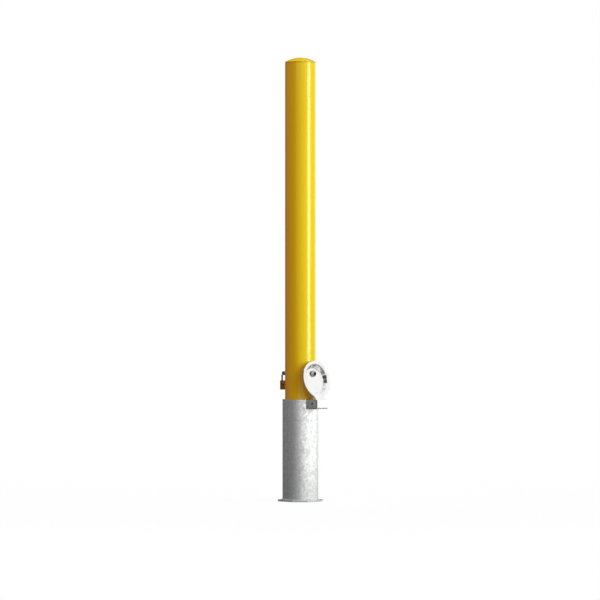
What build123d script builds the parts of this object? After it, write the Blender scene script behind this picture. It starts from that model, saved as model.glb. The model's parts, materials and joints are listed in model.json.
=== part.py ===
from build123d import *
from math import asin, atan2, cos, hypot, sin, sqrt, tan
import os

# Removable bollard: a painted steel post that drops into a galvanised ground sleeve.
# A round sheet lid on the sleeve stands against the post, and a padlocked rod goes through both.
# Millimetres, +Z up. The origin is the middle of the base plate's underside, and +X points to the hinge.

# Ground sleeve
sleeve_radius = 44.55
sleeve_wall = 3.2
sleeve_length = 250.0
rim_round = 0.6
base_past_sleeve = 8.45
base_corner_cut = 27.0
base_thickness = 3.2
drain_radius = 12.5

# Post
post_side_gap = 3.2
post_wall = 2.8
post_above_rim = 837.5
post_foot_bevel = 1.2
cap_rise = 12.0
cap_skirt = 1.5
cap_sheet = 2.3
cap_spigot = 8.0
cap_spigot_gap = 0.1
cap_seam_bevel = 0.5

# Hinge box on the sleeve's rim
pin_past_sleeve = 14.95
hinge_drop = 10.0
box_width = 37.0
box_past_pin = 18.5
box_depth = 22.8
box_wall = 3.0
box_bend = 4.5
pin_radius = 3.0
pin_wall = 1.0
pin_slit = 0.8
pin_recess = 0.6
pin_bevel = 0.4
pin_running_gap = 0.06

# Lid, pressed from one sheet
lid_past_sleeve = 1.45
lid_sheet = 2.0
lid_side_gap = 0.8
lid_rest_gap = 0.3
lid_flat_width = 7.5
dish_wall_run = 6.0
dish_depth = 11.5
dish_floor_bend = 4.0
dish_mouth_bend = 1.5
tongue_tail = 8.0
tongue_blend = 14.0
ear_radius = 6.5
ear_run = 12.0
rod_slot_length = 16.0
rod_slot_width = 12.5
rod_slot_drop = 0.8

# Locking rod and the tube that guides it through the post
rod_above_rim = 64.0
rod_radius = 5.0
rod_head_radius = 8.0
rod_head_collar = 1.5
rod_head_dome = 5.0
rod_head_gap = 0.3
rod_eye_past_post = 19.85
rod_eye_hole_radius = 2.9
rod_flat_thickness = 5.0
rod_flat_run = 7.0
guide_wall = 2.7
guide_gap = 0.3

# Padlock, hanging from the rod's eye with its plug's key face down
lock_width = 19.5
lock_thickness = 10.0
lock_height = 23.0
lock_corner_round = 1.5
lock_edge_round = 0.6
shackle_radius = 2.0
shackle_spread = 13.0
shackle_leg_shown = 11.3
shackle_hang_gap = 0.2
shackle_bore_gap = 0.15
heel_leg_depth = 8.8
toe_leg_depth = 8.6
heel_spring_length = 3.2
plug_radius = 3.4
plug_length = 11.7
plug_recess = 0.2
plug_gap = 0.05
keyway_width = 1.2
keyway_below_axis = 2.6
keyway_above_axis = 1.0
keyway_length = 8.8
stem_radius = 1.6
stem_gap = 0.15
crank_radius = 0.7
latch_travel = 1.3
latch_length = 7.5
latch_width = 4.4
latch_height = 2.4
latch_gap = 0.15
latch_bite = 1.1
latch_slot_play = 0.325
latch_spring_length = 2.1
latch_level = 15.4
pin_count = 3
pin_pitch = 2.6
first_pin_height = 2.6
tumbler_radius = 0.85
tumbler_gap = 0.1
shear_gap = 0.15
key_pin_length = 2.5
driver_pin_length = 2.45
key_pin_bevel = 0.3
strip_thickness = 1.2
strip_margin = 1.2
retainer_radius = 0.8
retainer_height = 10.0
retainer_bite = 0.4

# Coil springs: radius to the middle of the wire, radius of the wire, turns
latch_coil_radius = 0.9
latch_wire_radius = 0.15
latch_coil_turns = 3
shackle_coil_radius = 1.5
shackle_wire_radius = 0.3
shackle_coil_turns = 3
pin_coil_radius = 0.6
pin_wire_radius = 0.14
pin_coil_turns = 4

# Heights and radii that follow from the sizes above
base_side = 2 * (sleeve_radius + base_past_sleeve)
post_radius = sleeve_radius - sleeve_wall - post_side_gap
hinge_radius = sleeve_radius + pin_past_sleeve
box_reach = hinge_radius + box_past_pin
lid_radius = sleeve_radius + lid_past_sleeve
dish_mouth_radius = lid_radius - lid_flat_width
dish_floor_radius = dish_mouth_radius - dish_wall_run
rim = base_thickness + sleeve_length
post_top = rim + post_above_rim
post_inner_radius = post_radius - post_wall
pin_height = rim - hinge_drop
rod_height = rim + rod_above_rim
box_inner_width = box_width - 2 * box_wall
box_floor = rim - box_depth
rod_eye = -(post_radius + rod_eye_past_post)

# The lid closes concentric with the sleeve, its underside on the rim
lid_reach = hinge_radius
tongue_width = box_inner_width - 2 * lid_side_gap
dish_wall_turn = atan2(dish_depth, dish_mouth_radius - dish_floor_radius)
dish_rest_radius = dish_floor_radius - dish_floor_bend * tan(dish_wall_turn / 2)

# The open lid leans until the top of its dish floor meets the post
rest_up = lid_reach + dish_rest_radius
rest_back = dish_depth - hinge_drop
rest_run = hinge_radius - post_radius - lid_rest_gap
lean = asin(rest_run / hypot(rest_up, rest_back)) - atan2(rest_back, rest_up)
lid_up = Vector(-sin(lean), 0, cos(lean))
lid_out = Vector(cos(lean), 0, sin(lean))
hinge_point = Vector(hinge_radius, 0, pin_height)

# Distances along lid_up and lid_out are measured from the hinge pin's axis in these planes
lid_side = Plane(origin=hinge_point, x_dir=lid_up, z_dir=(0, 1, 0))
lid_face = Plane(origin=hinge_point, x_dir=lid_up, z_dir=lid_out)
dish_floor_top = hinge_drop - dish_depth + lid_sheet
dish_floor_middle = dish_floor_top - lid_sheet / 2
rod_slot_centre = (rod_height - pin_height - dish_floor_middle * sin(lean)) / cos(lean) - rod_slot_drop

# The rod's head stands just off the dish floor at the head's lower edge
head_low_rise = rod_height - rod_head_radius - pin_height
head_seat = hinge_radius + (dish_floor_top - head_low_rise * sin(lean)) / cos(lean) + rod_head_gap

# Padlock heights: the shackle's bow hangs in the rod's eye
bow_radius = shackle_spread / 2
bow_sag = bow_radius - sqrt(bow_radius**2 - (rod_flat_thickness / 2) ** 2)
bow_top = rod_height - (rod_eye_hole_radius - shackle_radius - shackle_hang_gap - bow_sag)
bow_centre = bow_top - bow_radius
lock_top = bow_centre - shackle_leg_shown
lock_bottom = lock_top - lock_height
heel_y = shackle_spread / 2
toe_y = -shackle_spread / 2
leg_bore_radius = shackle_radius + shackle_bore_gap
lock_side = lock_width / 2
plug_bore_radius = plug_radius + plug_gap
plug_top = plug_recess + plug_length
crank_throw = latch_travel
stem_bore_radius = crank_throw + crank_radius + stem_gap
latch_tip = toe_y + shackle_radius - latch_bite
latch_rear = latch_tip + latch_length
latch_top = latch_level + 2 * latch_gap + latch_height
channel_end = latch_rear + latch_spring_length
chamber_radius = tumbler_radius + tumbler_gap
strip_inner = lock_side - strip_thickness
pin_heights = [first_pin_height + i * pin_pitch for i in range(pin_count)]
strip_low = pin_heights[0] - strip_margin
strip_high = pin_heights[-1] + strip_margin
key_pin_tip = plug_radius - shear_gap - key_pin_length
driver_start = plug_radius + shear_gap
driver_end = driver_start + driver_pin_length
retainer_y = -(plug_radius - retainer_bite - tumbler_gap + retainer_radius)

# The padlock's planes: lock_base looks up from its bottom face, lock_across looks along +Y
lock_base = Plane(origin=(rod_eye, 0, lock_bottom))
lock_across = Plane(origin=(rod_eye, 0, lock_bottom), x_dir=(-1, 0, 0), z_dir=(0, 1, 0))
lock_through = Plane(origin=(rod_eye, 0, lock_bottom), x_dir=(0, 1, 0), z_dir=(1, 0, 0))


def coil_spring(start, direction, length, coil_radius, wire_radius, turns):
    """One round-wire coil, `length` long over its wire, from start along direction."""
    run = length - 2 * wire_radius
    heart = Vector(start) + Vector(direction) * wire_radius
    with BuildPart() as spring:
        with BuildLine() as coil:
            Helix(pitch=run / turns, height=run, radius=coil_radius, center=heart, direction=direction)
        with BuildSketch(coil.line ^ 0):
            Circle(wire_radius)
        sweep(is_frenet=True)
    return spring.part


# Square base plate with cut corners and a drain hole
with BuildPart() as base_plate:
    with BuildSketch() as plate_outline:
        Rectangle(base_side, base_side)
        chamfer(plate_outline.vertices(), base_corner_cut)
        Circle(drain_radius, mode=Mode.SUBTRACT)
    extrude(amount=base_thickness)

# Sleeve pipe, welded on the plate
with BuildPart() as sleeve_tube:
    with BuildSketch(Plane.XY.offset(base_thickness)):
        Circle(sleeve_radius)
        Circle(sleeve_radius - sleeve_wall, mode=Mode.SUBTRACT)
    extrude(amount=sleeve_length)
    fillet(sleeve_tube.faces().sort_by(Axis.Z)[-1].edges(), rim_round)

# Bent strip that makes the front and the underside of the hinge box
with BuildPart() as hinge_strap:
    with BuildSketch(Plane.XZ):
        with BuildLine():
            FilletPolyline((0, box_floor), (box_reach, box_floor), (box_reach, rim), radius=box_bend)
            offset(amount=box_wall, side=Side.LEFT)
        make_face()
    extrude(amount=box_width / 2, both=True)
    with BuildSketch(Plane.XY.offset(box_floor)):
        Circle(sleeve_radius)
    extrude(amount=box_depth, mode=Mode.SUBTRACT)

# Two side plates of the hinge box, butted to the sleeve and drilled for the pin
hinge_cheeks = {}
for side_name, side in (("left", -1), ("right", 1)):
    with BuildPart() as cheek:
        with BuildSketch(Plane.XZ.offset(-side * (box_width - box_wall) / 2)):
            with BuildLine():
                FilletPolyline(
                    (0, rim),
                    (0, box_floor + box_wall),
                    (box_reach - box_wall, box_floor + box_wall),
                    (box_reach - box_wall, rim),
                    radius=(0, box_bend - box_wall),
                )
                Line((box_reach - box_wall, rim), (0, rim))
            make_face()
            with Locations((hinge_radius, pin_height)):
                Circle(pin_radius, mode=Mode.SUBTRACT)
        extrude(amount=box_wall / 2, both=True)
        with BuildSketch(Plane.XY.offset(box_floor)):
            Circle(sleeve_radius)
        extrude(amount=box_depth, mode=Mode.SUBTRACT)
    hinge_cheeks[side_name] = cheek.part

# Rolled spring pin, slit along its underside
with BuildPart() as hinge_pin:
    with BuildSketch(Plane.XZ):
        with Locations((hinge_radius, pin_height)):
            Circle(pin_radius)
            Circle(pin_radius - pin_wall, mode=Mode.SUBTRACT)
            Rectangle(pin_slit, 2 * pin_radius, align=(Align.CENTER, Align.MAX), mode=Mode.SUBTRACT)
    extrude(amount=box_width / 2 - pin_recess, both=True)
    chamfer(hinge_pin.faces().filter_by(Axis.Y).edges().group_by(SortBy.LENGTH)[-1], pin_bevel)

# Lid: flat rim, dish, tongue and two folded ears, all one sheet
with BuildPart() as lid:
    with BuildSketch(lid_side):
        with BuildLine():
            FilletPolyline(
                (lid_reach, hinge_drop - dish_depth),
                (lid_reach + dish_floor_radius, hinge_drop - dish_depth),
                (lid_reach + dish_mouth_radius, hinge_drop),
                (lid_reach + lid_radius, hinge_drop),
                radius=(dish_floor_bend, dish_mouth_bend),
            )
            offset(amount=lid_sheet, side=Side.LEFT)
        make_face()
    revolve(axis=Axis(hinge_point + lid_up * lid_reach, lid_out))
    with BuildSketch(lid_face.offset(hinge_drop)) as tongue:
        with Locations((-tongue_tail, 0)):
            Rectangle(lid_reach + tongue_tail, tongue_width, align=(Align.MIN, Align.CENTER))
        with Locations((lid_reach, 0)):
            Circle(lid_radius)
        fillet(tongue.vertices().sort_by(Axis.X)[2:4], tongue_blend)
        with Locations((lid_reach, 0)):
            Circle(lid_radius - lid_flat_width / 2, mode=Mode.SUBTRACT)
    extrude(amount=lid_sheet)
    for side in (-1, 1):
        with BuildSketch(lid_side.offset(side * (tongue_width - lid_sheet) / 2)):
            with BuildLine():
                CenterArc((0, 0), ear_radius, 0, 360)
                Line((-tongue_tail, hinge_drop), (ear_run, hinge_drop))
            make_hull()
        extrude(amount=lid_sheet / 2, both=True)
    with BuildSketch(lid_side):
        Circle(pin_radius + pin_running_gap)
    extrude(amount=tongue_width, both=True, mode=Mode.SUBTRACT)
    with BuildSketch(lid_face):
        with Locations((rod_slot_centre, 0)):
            SlotOverall(rod_slot_length, rod_slot_width)
    extrude(amount=dish_depth, both=True, mode=Mode.SUBTRACT)

# Post pipe, with a cross hole for the guide tube
with BuildPart() as post_tube:
    with BuildSketch(Plane.XY.offset(base_thickness)):
        Circle(post_radius)
        Circle(post_inner_radius, mode=Mode.SUBTRACT)
    extrude(amount=post_top - base_thickness)
    rings = post_tube.edges().filter_by(GeomType.CIRCLE).group_by(Axis.Z)
    chamfer(rings[0].sort_by(SortBy.RADIUS)[-1], post_foot_bevel)
    chamfer(rings[-1].sort_by(SortBy.RADIUS)[-1], cap_seam_bevel)
    with BuildSketch(Plane.YZ):
        with Locations((0, rod_height)):
            Circle(rod_radius + guide_gap + guide_wall)
    extrude(amount=post_radius, both=True, mode=Mode.SUBTRACT)

# Guide tube, welded across the post and dressed flush with it
with BuildPart() as rod_guide_tube:
    with BuildSketch(Plane.YZ):
        with Locations((0, rod_height)):
            Circle(rod_radius + guide_gap + guide_wall)
            Circle(rod_radius + guide_gap, mode=Mode.SUBTRACT)
    extrude(amount=post_radius, both=True)
    with BuildSketch(Plane.XY.offset(rod_height)):
        Circle(post_radius)
    extrude(amount=rod_radius + guide_gap + guide_wall, both=True, mode=Mode.INTERSECT)

# Domed cap with a spigot in the pipe's mouth
spigot_radius = post_inner_radius - cap_spigot_gap
cap_edge_round = cap_skirt - cap_seam_bevel
with BuildPart() as post_cap:
    with BuildSketch(Plane.XZ):
        with BuildLine():
            TangentArc((0, post_top + cap_rise), (post_radius, post_top + cap_skirt), tangent=(1, 0))
            Polyline(
                (post_radius, post_top + cap_skirt),
                (post_radius, post_top + cap_seam_bevel),
                (post_radius - cap_seam_bevel, post_top),
                (spigot_radius, post_top),
                (spigot_radius, post_top - cap_spigot),
                (spigot_radius - cap_sheet, post_top - cap_spigot),
                (spigot_radius - cap_sheet, post_top),
            )
            TangentArc(
                (0, post_top + cap_rise - cap_sheet), (spigot_radius - cap_sheet, post_top), tangent=(1, 0)
            )
            Line((0, post_top + cap_rise - cap_sheet), (0, post_top + cap_rise))
        make_face()
    revolve(axis=Axis.Z)
    fillet(post_cap.edges().filter_by(Plane.XY).sort_by(Axis.Z)[-1], cap_edge_round)

# Dome-headed rod with a flattened, drilled and rounded end
dome_foot = head_seat + rod_head_collar
dome_top = dome_foot + rod_head_dome
with BuildPart() as locking_rod:
    with BuildSketch(Plane.YZ.offset(head_seat)):
        with Locations((0, rod_height)):
            Circle(rod_radius)
    extrude(amount=-(head_seat - rod_eye + rod_radius))
    with BuildSketch(Plane.XZ):
        with Locations((rod_eye, rod_height)):
            Rectangle(2 * rod_radius, 4 * rod_radius, align=(Align.MAX, Align.CENTER))
            Circle(rod_radius, mode=Mode.SUBTRACT)
    extrude(amount=2 * rod_radius, both=True, mode=Mode.SUBTRACT)
    with BuildSketch(Plane.XZ):
        with Locations((rod_eye, rod_height)):
            Circle(rod_eye_hole_radius)
    extrude(amount=rod_radius, both=True, mode=Mode.SUBTRACT)
    with BuildSketch(Plane.YZ.offset(rod_eye + rod_flat_run)):
        with Locations((0, rod_height)):
            Rectangle(4 * rod_radius, 4 * rod_radius)
            Rectangle(rod_flat_thickness, 4 * rod_radius, mode=Mode.SUBTRACT)
    extrude(amount=-(rod_flat_run + 2 * rod_radius), mode=Mode.SUBTRACT)
    with BuildSketch(Plane.XZ):
        with BuildLine():
            TangentArc((dome_top, rod_height), (dome_foot, rod_height + rod_head_radius), tangent=(0, 1))
            Polyline(
                (dome_foot, rod_height + rod_head_radius),
                (head_seat, rod_height + rod_head_radius),
                (head_seat, rod_height),
                (dome_top, rod_height),
            )
        make_face()
    revolve(axis=Axis((0, 0, rod_height), (1, 0, 0)))

# Shackle: a bow over two straight legs, the shorter leg notched for the latch
with BuildPart() as padlock_shackle:
    with BuildLine() as bow:
        heel_foot = Vector(rod_eye, heel_y, lock_top - heel_leg_depth)
        heel_shoulder = Vector(rod_eye, heel_y, bow_centre)
        toe_shoulder = Vector(rod_eye, toe_y, bow_centre)
        Line(heel_foot, heel_shoulder)
        ThreePointArc(heel_shoulder, Vector(rod_eye, 0, bow_top), toe_shoulder)
        Line(toe_shoulder, Vector(rod_eye, toe_y, lock_top - toe_leg_depth))
    with BuildSketch(Plane(origin=heel_foot)):
        Circle(shackle_radius)
    sweep()
    with BuildSketch(lock_base.offset(latch_level)):
        with Locations((0, latch_tip - latch_gap)):
            Rectangle(4 * shackle_radius, 2 * shackle_radius, align=(Align.CENTER, Align.MIN))
    extrude(amount=latch_top - latch_level, mode=Mode.SUBTRACT)

# Padlock body: leg bores, plug bore, latch channel, pin chambers and the strip's slot
with BuildPart() as padlock_body:
    with BuildSketch(lock_base):
        RectangleRounded(lock_thickness, lock_width, lock_corner_round)
    extrude(amount=lock_height)
    fillet(padlock_body.faces().filter_by(Axis.Z).edges(), lock_edge_round)
    with BuildSketch(lock_base.offset(lock_height)):
        with Locations((0, heel_y)):
            Circle(leg_bore_radius)
    extrude(amount=-(heel_leg_depth + heel_spring_length), mode=Mode.SUBTRACT)
    with BuildSketch(lock_base.offset(lock_height)):
        with Locations((0, toe_y)):
            Circle(leg_bore_radius)
    extrude(amount=-(toe_leg_depth + shackle_bore_gap), mode=Mode.SUBTRACT)
    with BuildSketch(lock_base):
        Circle(plug_bore_radius)
    extrude(amount=plug_top + plug_gap, mode=Mode.SUBTRACT)
    with BuildSketch(lock_base):
        Circle(stem_bore_radius)
    extrude(amount=latch_level, mode=Mode.SUBTRACT)
    with BuildSketch(lock_base.offset(latch_level)):
        with Locations((0, toe_y)):
            Rectangle(latch_width + 2 * latch_gap, channel_end - toe_y, align=(Align.CENTER, Align.MIN))
    extrude(amount=latch_top - latch_level, mode=Mode.SUBTRACT)
    for height in pin_heights:
        with BuildSketch(lock_across):
            with Locations((0, height)):
                Circle(chamber_radius)
        extrude(amount=lock_side, mode=Mode.SUBTRACT)
    with BuildSketch(lock_across.offset(strip_inner)):
        with Locations((0, (strip_low + strip_high) / 2)):
            SlotOverall(strip_high - strip_low, 2 * strip_margin, rotation=90)
    extrude(amount=strip_thickness, mode=Mode.SUBTRACT)
    with BuildSketch(lock_through):
        with Locations((retainer_y, retainer_height)):
            Circle(retainer_radius)
    extrude(amount=lock_thickness / 2, both=True, mode=Mode.SUBTRACT)

# Strip that closes the pin chambers
with BuildPart() as pin_cover_strip:
    with BuildSketch(lock_across.offset(strip_inner)):
        with Locations((0, (strip_low + strip_high) / 2)):
            SlotOverall(strip_high - strip_low, 2 * strip_margin, rotation=90)
    extrude(amount=strip_thickness)

# Cross pin in the plug's groove
with BuildPart() as plug_retainer_pin:
    with BuildSketch(lock_through):
        with Locations((retainer_y, retainer_height)):
            Circle(retainer_radius)
    extrude(amount=lock_thickness / 2, both=True)

# Plug: keyway, pin holes, retaining groove, stem and crank
with BuildPart() as padlock_plug:
    with BuildSketch(lock_base.offset(plug_recess)):
        Circle(plug_radius)
    extrude(amount=plug_length)
    with BuildSketch(lock_base.offset(retainer_height - retainer_radius - tumbler_gap)):
        Circle(plug_radius)
        Circle(plug_radius - retainer_bite - tumbler_gap, mode=Mode.SUBTRACT)
    extrude(amount=2 * (retainer_radius + tumbler_gap), mode=Mode.SUBTRACT)
    with BuildSketch(lock_base):
        with Locations((0, -keyway_below_axis)):
            Rectangle(keyway_width, keyway_below_axis + keyway_above_axis, align=(Align.CENTER, Align.MIN))
    extrude(amount=keyway_length, mode=Mode.SUBTRACT)
    for height in pin_heights:
        with BuildSketch(lock_across.offset(key_pin_tip - tumbler_gap)):
            with Locations((0, height)):
                Circle(chamber_radius)
        extrude(amount=plug_radius, mode=Mode.SUBTRACT)
    with BuildSketch(lock_base.offset(plug_top)):
        Circle(stem_radius)
    extrude(amount=latch_level - plug_top)
    with BuildSketch(lock_base.offset(latch_level)):
        with Locations((crank_throw, 0)):
            Circle(crank_radius)
    extrude(amount=-crank_radius)
    with BuildSketch(lock_base.offset(latch_level)):
        with Locations((crank_throw, 0)):
            Circle(crank_radius)
    extrude(amount=latch_height)

# Latch: its tip fills the shackle's notch, and the plug's crank works in its open slot
with BuildPart() as padlock_latch:
    with BuildSketch(lock_base.offset(latch_level + latch_gap)):
        with Locations((0, latch_tip)):
            Rectangle(latch_width, latch_length, align=(Align.CENTER, Align.MIN))
        with Locations((-crank_radius - latch_gap, -crank_radius - latch_gap)):
            Rectangle(
                latch_width,
                2 * (crank_radius + latch_gap) + latch_slot_play,
                align=(Align.MIN, Align.MIN),
                mode=Mode.SUBTRACT,
            )
    extrude(amount=latch_height)

# Springs, and the pins that the key lifts to the plug's edge
latch_spring = coil_spring(
    start=(rod_eye, latch_rear, lock_bottom + latch_level + latch_gap + latch_height / 2),
    direction=(0, 1, 0),
    length=latch_spring_length,
    coil_radius=latch_coil_radius,
    wire_radius=latch_wire_radius,
    turns=latch_coil_turns,
)
shackle_spring = coil_spring(
    start=(rod_eye, heel_y, lock_top - heel_leg_depth - heel_spring_length),
    direction=(0, 0, 1),
    length=heel_spring_length,
    coil_radius=shackle_coil_radius,
    wire_radius=shackle_wire_radius,
    turns=shackle_coil_turns,
)
pin_coils = [
    coil_spring(
        start=(rod_eye, driver_end, lock_bottom + height),
        direction=(0, 1, 0),
        length=strip_inner - driver_end,
        coil_radius=pin_coil_radius,
        wire_radius=pin_wire_radius,
        turns=pin_coil_turns,
    )
    for height in pin_heights
]

with BuildPart() as pin_springs:
    add(pin_coils)

with BuildPart() as key_pins:
    for height in pin_heights:
        with BuildSketch(lock_across.offset(key_pin_tip)):
            with Locations((0, height)):
                Circle(tumbler_radius)
        extrude(amount=key_pin_length)
        chamfer(key_pins.faces(Select.LAST).sort_by(Axis.Y)[0].edges(), key_pin_bevel)

with BuildPart() as driver_pins:
    for height in pin_heights:
        with BuildSketch(lock_across.offset(driver_start)):
            with Locations((0, height)):
                Circle(tumbler_radius)
        extrude(amount=driver_pin_length)

pieces = {
    "base_plate": base_plate.part,
    "sleeve_tube": sleeve_tube.part,
    "hinge_strap": hinge_strap.part,
    "hinge_cheek_left": hinge_cheeks["left"],
    "hinge_cheek_right": hinge_cheeks["right"],
    "hinge_pin": hinge_pin.part,
    "lid": lid.part,
    "post_tube": post_tube.part,
    "post_cap": post_cap.part,
    "rod_guide_tube": rod_guide_tube.part,
    "locking_rod": locking_rod.part,
    "padlock_body": padlock_body.part,
    "padlock_shackle": padlock_shackle.part,
    "padlock_plug": padlock_plug.part,
    "padlock_latch": padlock_latch.part,
    "latch_spring": latch_spring,
    "shackle_spring": shackle_spring,
    "key_pins": key_pins.part,
    "driver_pins": driver_pins.part,
    "pin_springs": pin_springs.part,
    "pin_cover_strip": pin_cover_strip.part,
    "plug_retainer_pin": plug_retainer_pin.part,
}

os.makedirs("parts", exist_ok=True)
for name, piece in pieces.items():
    piece.label = name
    export_step(piece, f"parts/{name}.step")
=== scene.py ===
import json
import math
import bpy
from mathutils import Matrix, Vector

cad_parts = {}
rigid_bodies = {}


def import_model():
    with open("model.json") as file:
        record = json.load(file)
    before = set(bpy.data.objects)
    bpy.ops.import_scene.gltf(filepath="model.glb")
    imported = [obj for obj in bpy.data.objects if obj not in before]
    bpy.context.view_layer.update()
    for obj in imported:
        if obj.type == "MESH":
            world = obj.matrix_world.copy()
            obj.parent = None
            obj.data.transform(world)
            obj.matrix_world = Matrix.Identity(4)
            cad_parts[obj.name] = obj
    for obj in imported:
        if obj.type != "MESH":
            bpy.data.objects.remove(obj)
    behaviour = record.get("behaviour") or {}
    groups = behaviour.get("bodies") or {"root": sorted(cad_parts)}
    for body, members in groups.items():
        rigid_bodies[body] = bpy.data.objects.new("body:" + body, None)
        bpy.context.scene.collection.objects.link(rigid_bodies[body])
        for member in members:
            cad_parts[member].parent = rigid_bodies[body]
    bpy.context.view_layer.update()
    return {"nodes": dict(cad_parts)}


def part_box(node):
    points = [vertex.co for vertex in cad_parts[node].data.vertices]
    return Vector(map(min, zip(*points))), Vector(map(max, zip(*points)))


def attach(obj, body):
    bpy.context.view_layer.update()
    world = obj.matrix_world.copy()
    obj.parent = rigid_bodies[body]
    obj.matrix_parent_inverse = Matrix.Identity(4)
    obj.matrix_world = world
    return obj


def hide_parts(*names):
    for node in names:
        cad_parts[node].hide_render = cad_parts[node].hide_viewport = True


bl_info = {
    "name": "Removable Bollard",
    "version": (1, 0, 0),
    "blender": (4, 5, 0),
    "location": "3D View > Sidebar > Bollard",
    "description": "Finishes a removable bollard with its ground sleeve, hinged lid, locking rod and padlock",
    "category": "Object",
}

import bmesh
import bpy
from bpy.props import FloatProperty, FloatVectorProperty, IntProperty, PointerProperty
from mathutils import Matrix, Vector

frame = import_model()

COLOR, FLOAT, VECTOR = "NodeSocketColor", "NodeSocketFloat", "NodeSocketVector"
MM = 0.001
MERGE_REACH = 0.002 * MM
FLAT_ANGLE = math.radians(0.2)
SLEEVE_TURNS = 192
FINE_EDGE = 0.12 * MM
WHITE = (1.0, 1.0, 1.0, 1.0)
# Dark brown of the seam under the cap: dirt and painted shade.
SEAM_DIRT_AND_SHADE_COLOR = (0.12, 0.05, 0.01, 1.0)
SHACKLE_COLOR = (0.30, 0.22, 0.13)
SHACKLE_FILM_COLOR = (0.14, 0.09, 0.05)
# Near-black steel: the pin's own dark finish plus painted shade in the pin's hole and in the rod's socket.
BLACK_STEEL_AND_SHADE_COLOR = (0.07, 0.068, 0.065)
BLACK_FILM_AND_SHADE_COLOR = (0.03, 0.028, 0.025)
SPRING_COLOR = (0.28, 0.28, 0.28)
SPRING_FILM_COLOR = (0.12, 0.11, 0.1)
EVEN_LINES = (900.0, 900.0, 900.0)
TO_RIGHT = Vector((math.sqrt(0.5), math.sqrt(0.5), 0.0))
TO_CAMERA = Vector((math.sqrt(0.5), -math.sqrt(0.5), 0.0))


def link(name, bm, material=None):
    """Put a bmesh into the scene as an object at the origin."""
    mesh = bpy.data.meshes.new(name)
    bm.to_mesh(mesh)
    bm.free()
    if material is not None:
        mesh.materials.append(material)
    piece = bpy.data.objects.new(name, mesh)
    bpy.context.scene.collection.objects.link(piece)
    return piece


def baked(piece):
    """Replace a piece's mesh with what its modifiers make of it, and drop the modifiers."""
    bpy.context.view_layer.update()
    evaluated = piece.evaluated_get(bpy.context.evaluated_depsgraph_get())
    made = bpy.data.meshes.new_from_object(evaluated)
    old = piece.data
    piece.modifiers.clear()
    piece.data = made
    made.name = piece.name
    bpy.data.meshes.remove(old)
    return piece


def softened(piece, width, segments=3, angle=30.0):
    """Round the hard edges of a piece and give it area-weighted normals."""
    for polygon in piece.data.polygons:
        polygon.use_smooth = True
    if width > 0:
        edge = piece.modifiers.new("Edge round", "BEVEL")
        edge.width = width
        edge.segments = segments
        edge.limit_method = "ANGLE"
        edge.angle_limit = math.radians(angle)
        edge.use_clamp_overlap = True
        edge.miter_outer = "MITER_ARC"
    normals = piece.modifiers.new("Normals", "WEIGHTED_NORMAL")
    normals.keep_sharp = True
    normals.weight = 60
    return baked(piece)


def node_piece(node, width, material, segments=3, angle=30.0):
    """Build a piece with rounded edges from a merged copy of a CAD node."""
    bm = bmesh.new()
    bm.from_mesh(frame["nodes"][node].data)
    bmesh.ops.remove_doubles(bm, verts=bm.verts, dist=MERGE_REACH)
    bmesh.ops.dissolve_limit(
        bm, angle_limit=FLAT_ANGLE, verts=bm.verts, edges=bm.edges, use_dissolve_boundaries=False
    )
    bmesh.ops.recalc_face_normals(bm, faces=bm.faces)
    return softened(link(node + "_rounded", bm, material), width, segments, angle)


def crosswise_bar(name, middle, radius, length, sides):
    """Build a bar along X round a middle point."""
    bm = bmesh.new()
    place = Matrix.Translation(middle) @ Matrix.Rotation(math.pi / 2, 4, "Y")
    bmesh.ops.create_cone(
        bm, cap_ends=True, segments=sides, radius1=radius, radius2=radius, depth=length, matrix=place
    )
    return link(name, bm)


def spread(first, last, count):
    """Return evenly spaced values from the first to the last."""
    return [first + (last - first) * i / (count - 1) for i in range(count)]


def cut_away(piece, cutter):
    """Take a cutter's volume out of a piece, and remove the cutter."""
    cut = piece.modifiers.new("Cut", "BOOLEAN")
    cut.operation = "DIFFERENCE"
    cut.solver = "EXACT"
    cut.object = cutter
    baked(piece)
    bpy.data.objects.remove(cutter)


def lathe_piece(name, profile, turns, material):
    """Spin a closed profile of (radius, height) points about the Z axis into a piece."""
    bm = bmesh.new()
    angles = [2 * math.pi * i / turns for i in range(turns)]
    rings = []
    for radius, height in profile:
        rings.append([bm.verts.new((radius * math.cos(turn), radius * math.sin(turn), height)) for turn in angles])
    for lower, upper in zip(rings, rings[1:] + rings[:1]):
        for i in range(turns):
            j = (i + 1) % turns
            bm.faces.new((lower[i], lower[j], upper[j], upper[i]))
    bmesh.ops.recalc_face_normals(bm, faces=bm.faces)
    return link(name, bm, material)


def rounded(corners, steps=5):
    """Return a profile with its corners rounded; each corner is (radius, height, rounding)."""
    points = []
    count = len(corners)
    for i, (x, y, size) in enumerate(corners):
        here = Vector((x, y))
        if size <= 0:
            points.append((x, y))
            continue
        before = (Vector(corners[i - 1][:2]) - here).normalized()
        after = (Vector(corners[(i + 1) % count][:2]) - here).normalized()
        half = before.angle(after) / 2
        reach = size / math.tan(half)
        centre = here + (before + after).normalized() * (size / math.sin(half))
        start = here + before * reach - centre
        stop = here + after * reach - centre
        for k in range(steps + 1):
            turn = start.angle_signed(stop) * k / steps
            points.append(tuple(centre + Matrix.Rotation(-turn, 2) @ start))
    return points


def pipe_normals(piece, inner, outer):
    """Give the round walls of an upright pipe their exact normals, and leave the other faces flat."""
    slack = 0.02 * MM
    upright = 0.02
    square_on = 0.98
    mesh = piece.data
    normals = []
    for polygon in mesh.polygons:
        polygon.use_smooth = True
        for index in polygon.loop_indices:
            point = mesh.vertices[mesh.loops[index].vertex_index].co
            flat = Vector((point.x, point.y, 0))
            reach = flat.length
            exact = polygon.normal
            if reach > 0 and abs(polygon.normal.z) < upright:
                facing = polygon.normal.dot(flat / reach)
                if facing > square_on and reach > outer - slack:
                    exact = flat / reach
                elif facing < -square_on and reach < inner + slack:
                    exact = -flat / reach
            normals.append(exact)
    mesh.normals_split_custom_set(normals)


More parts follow.
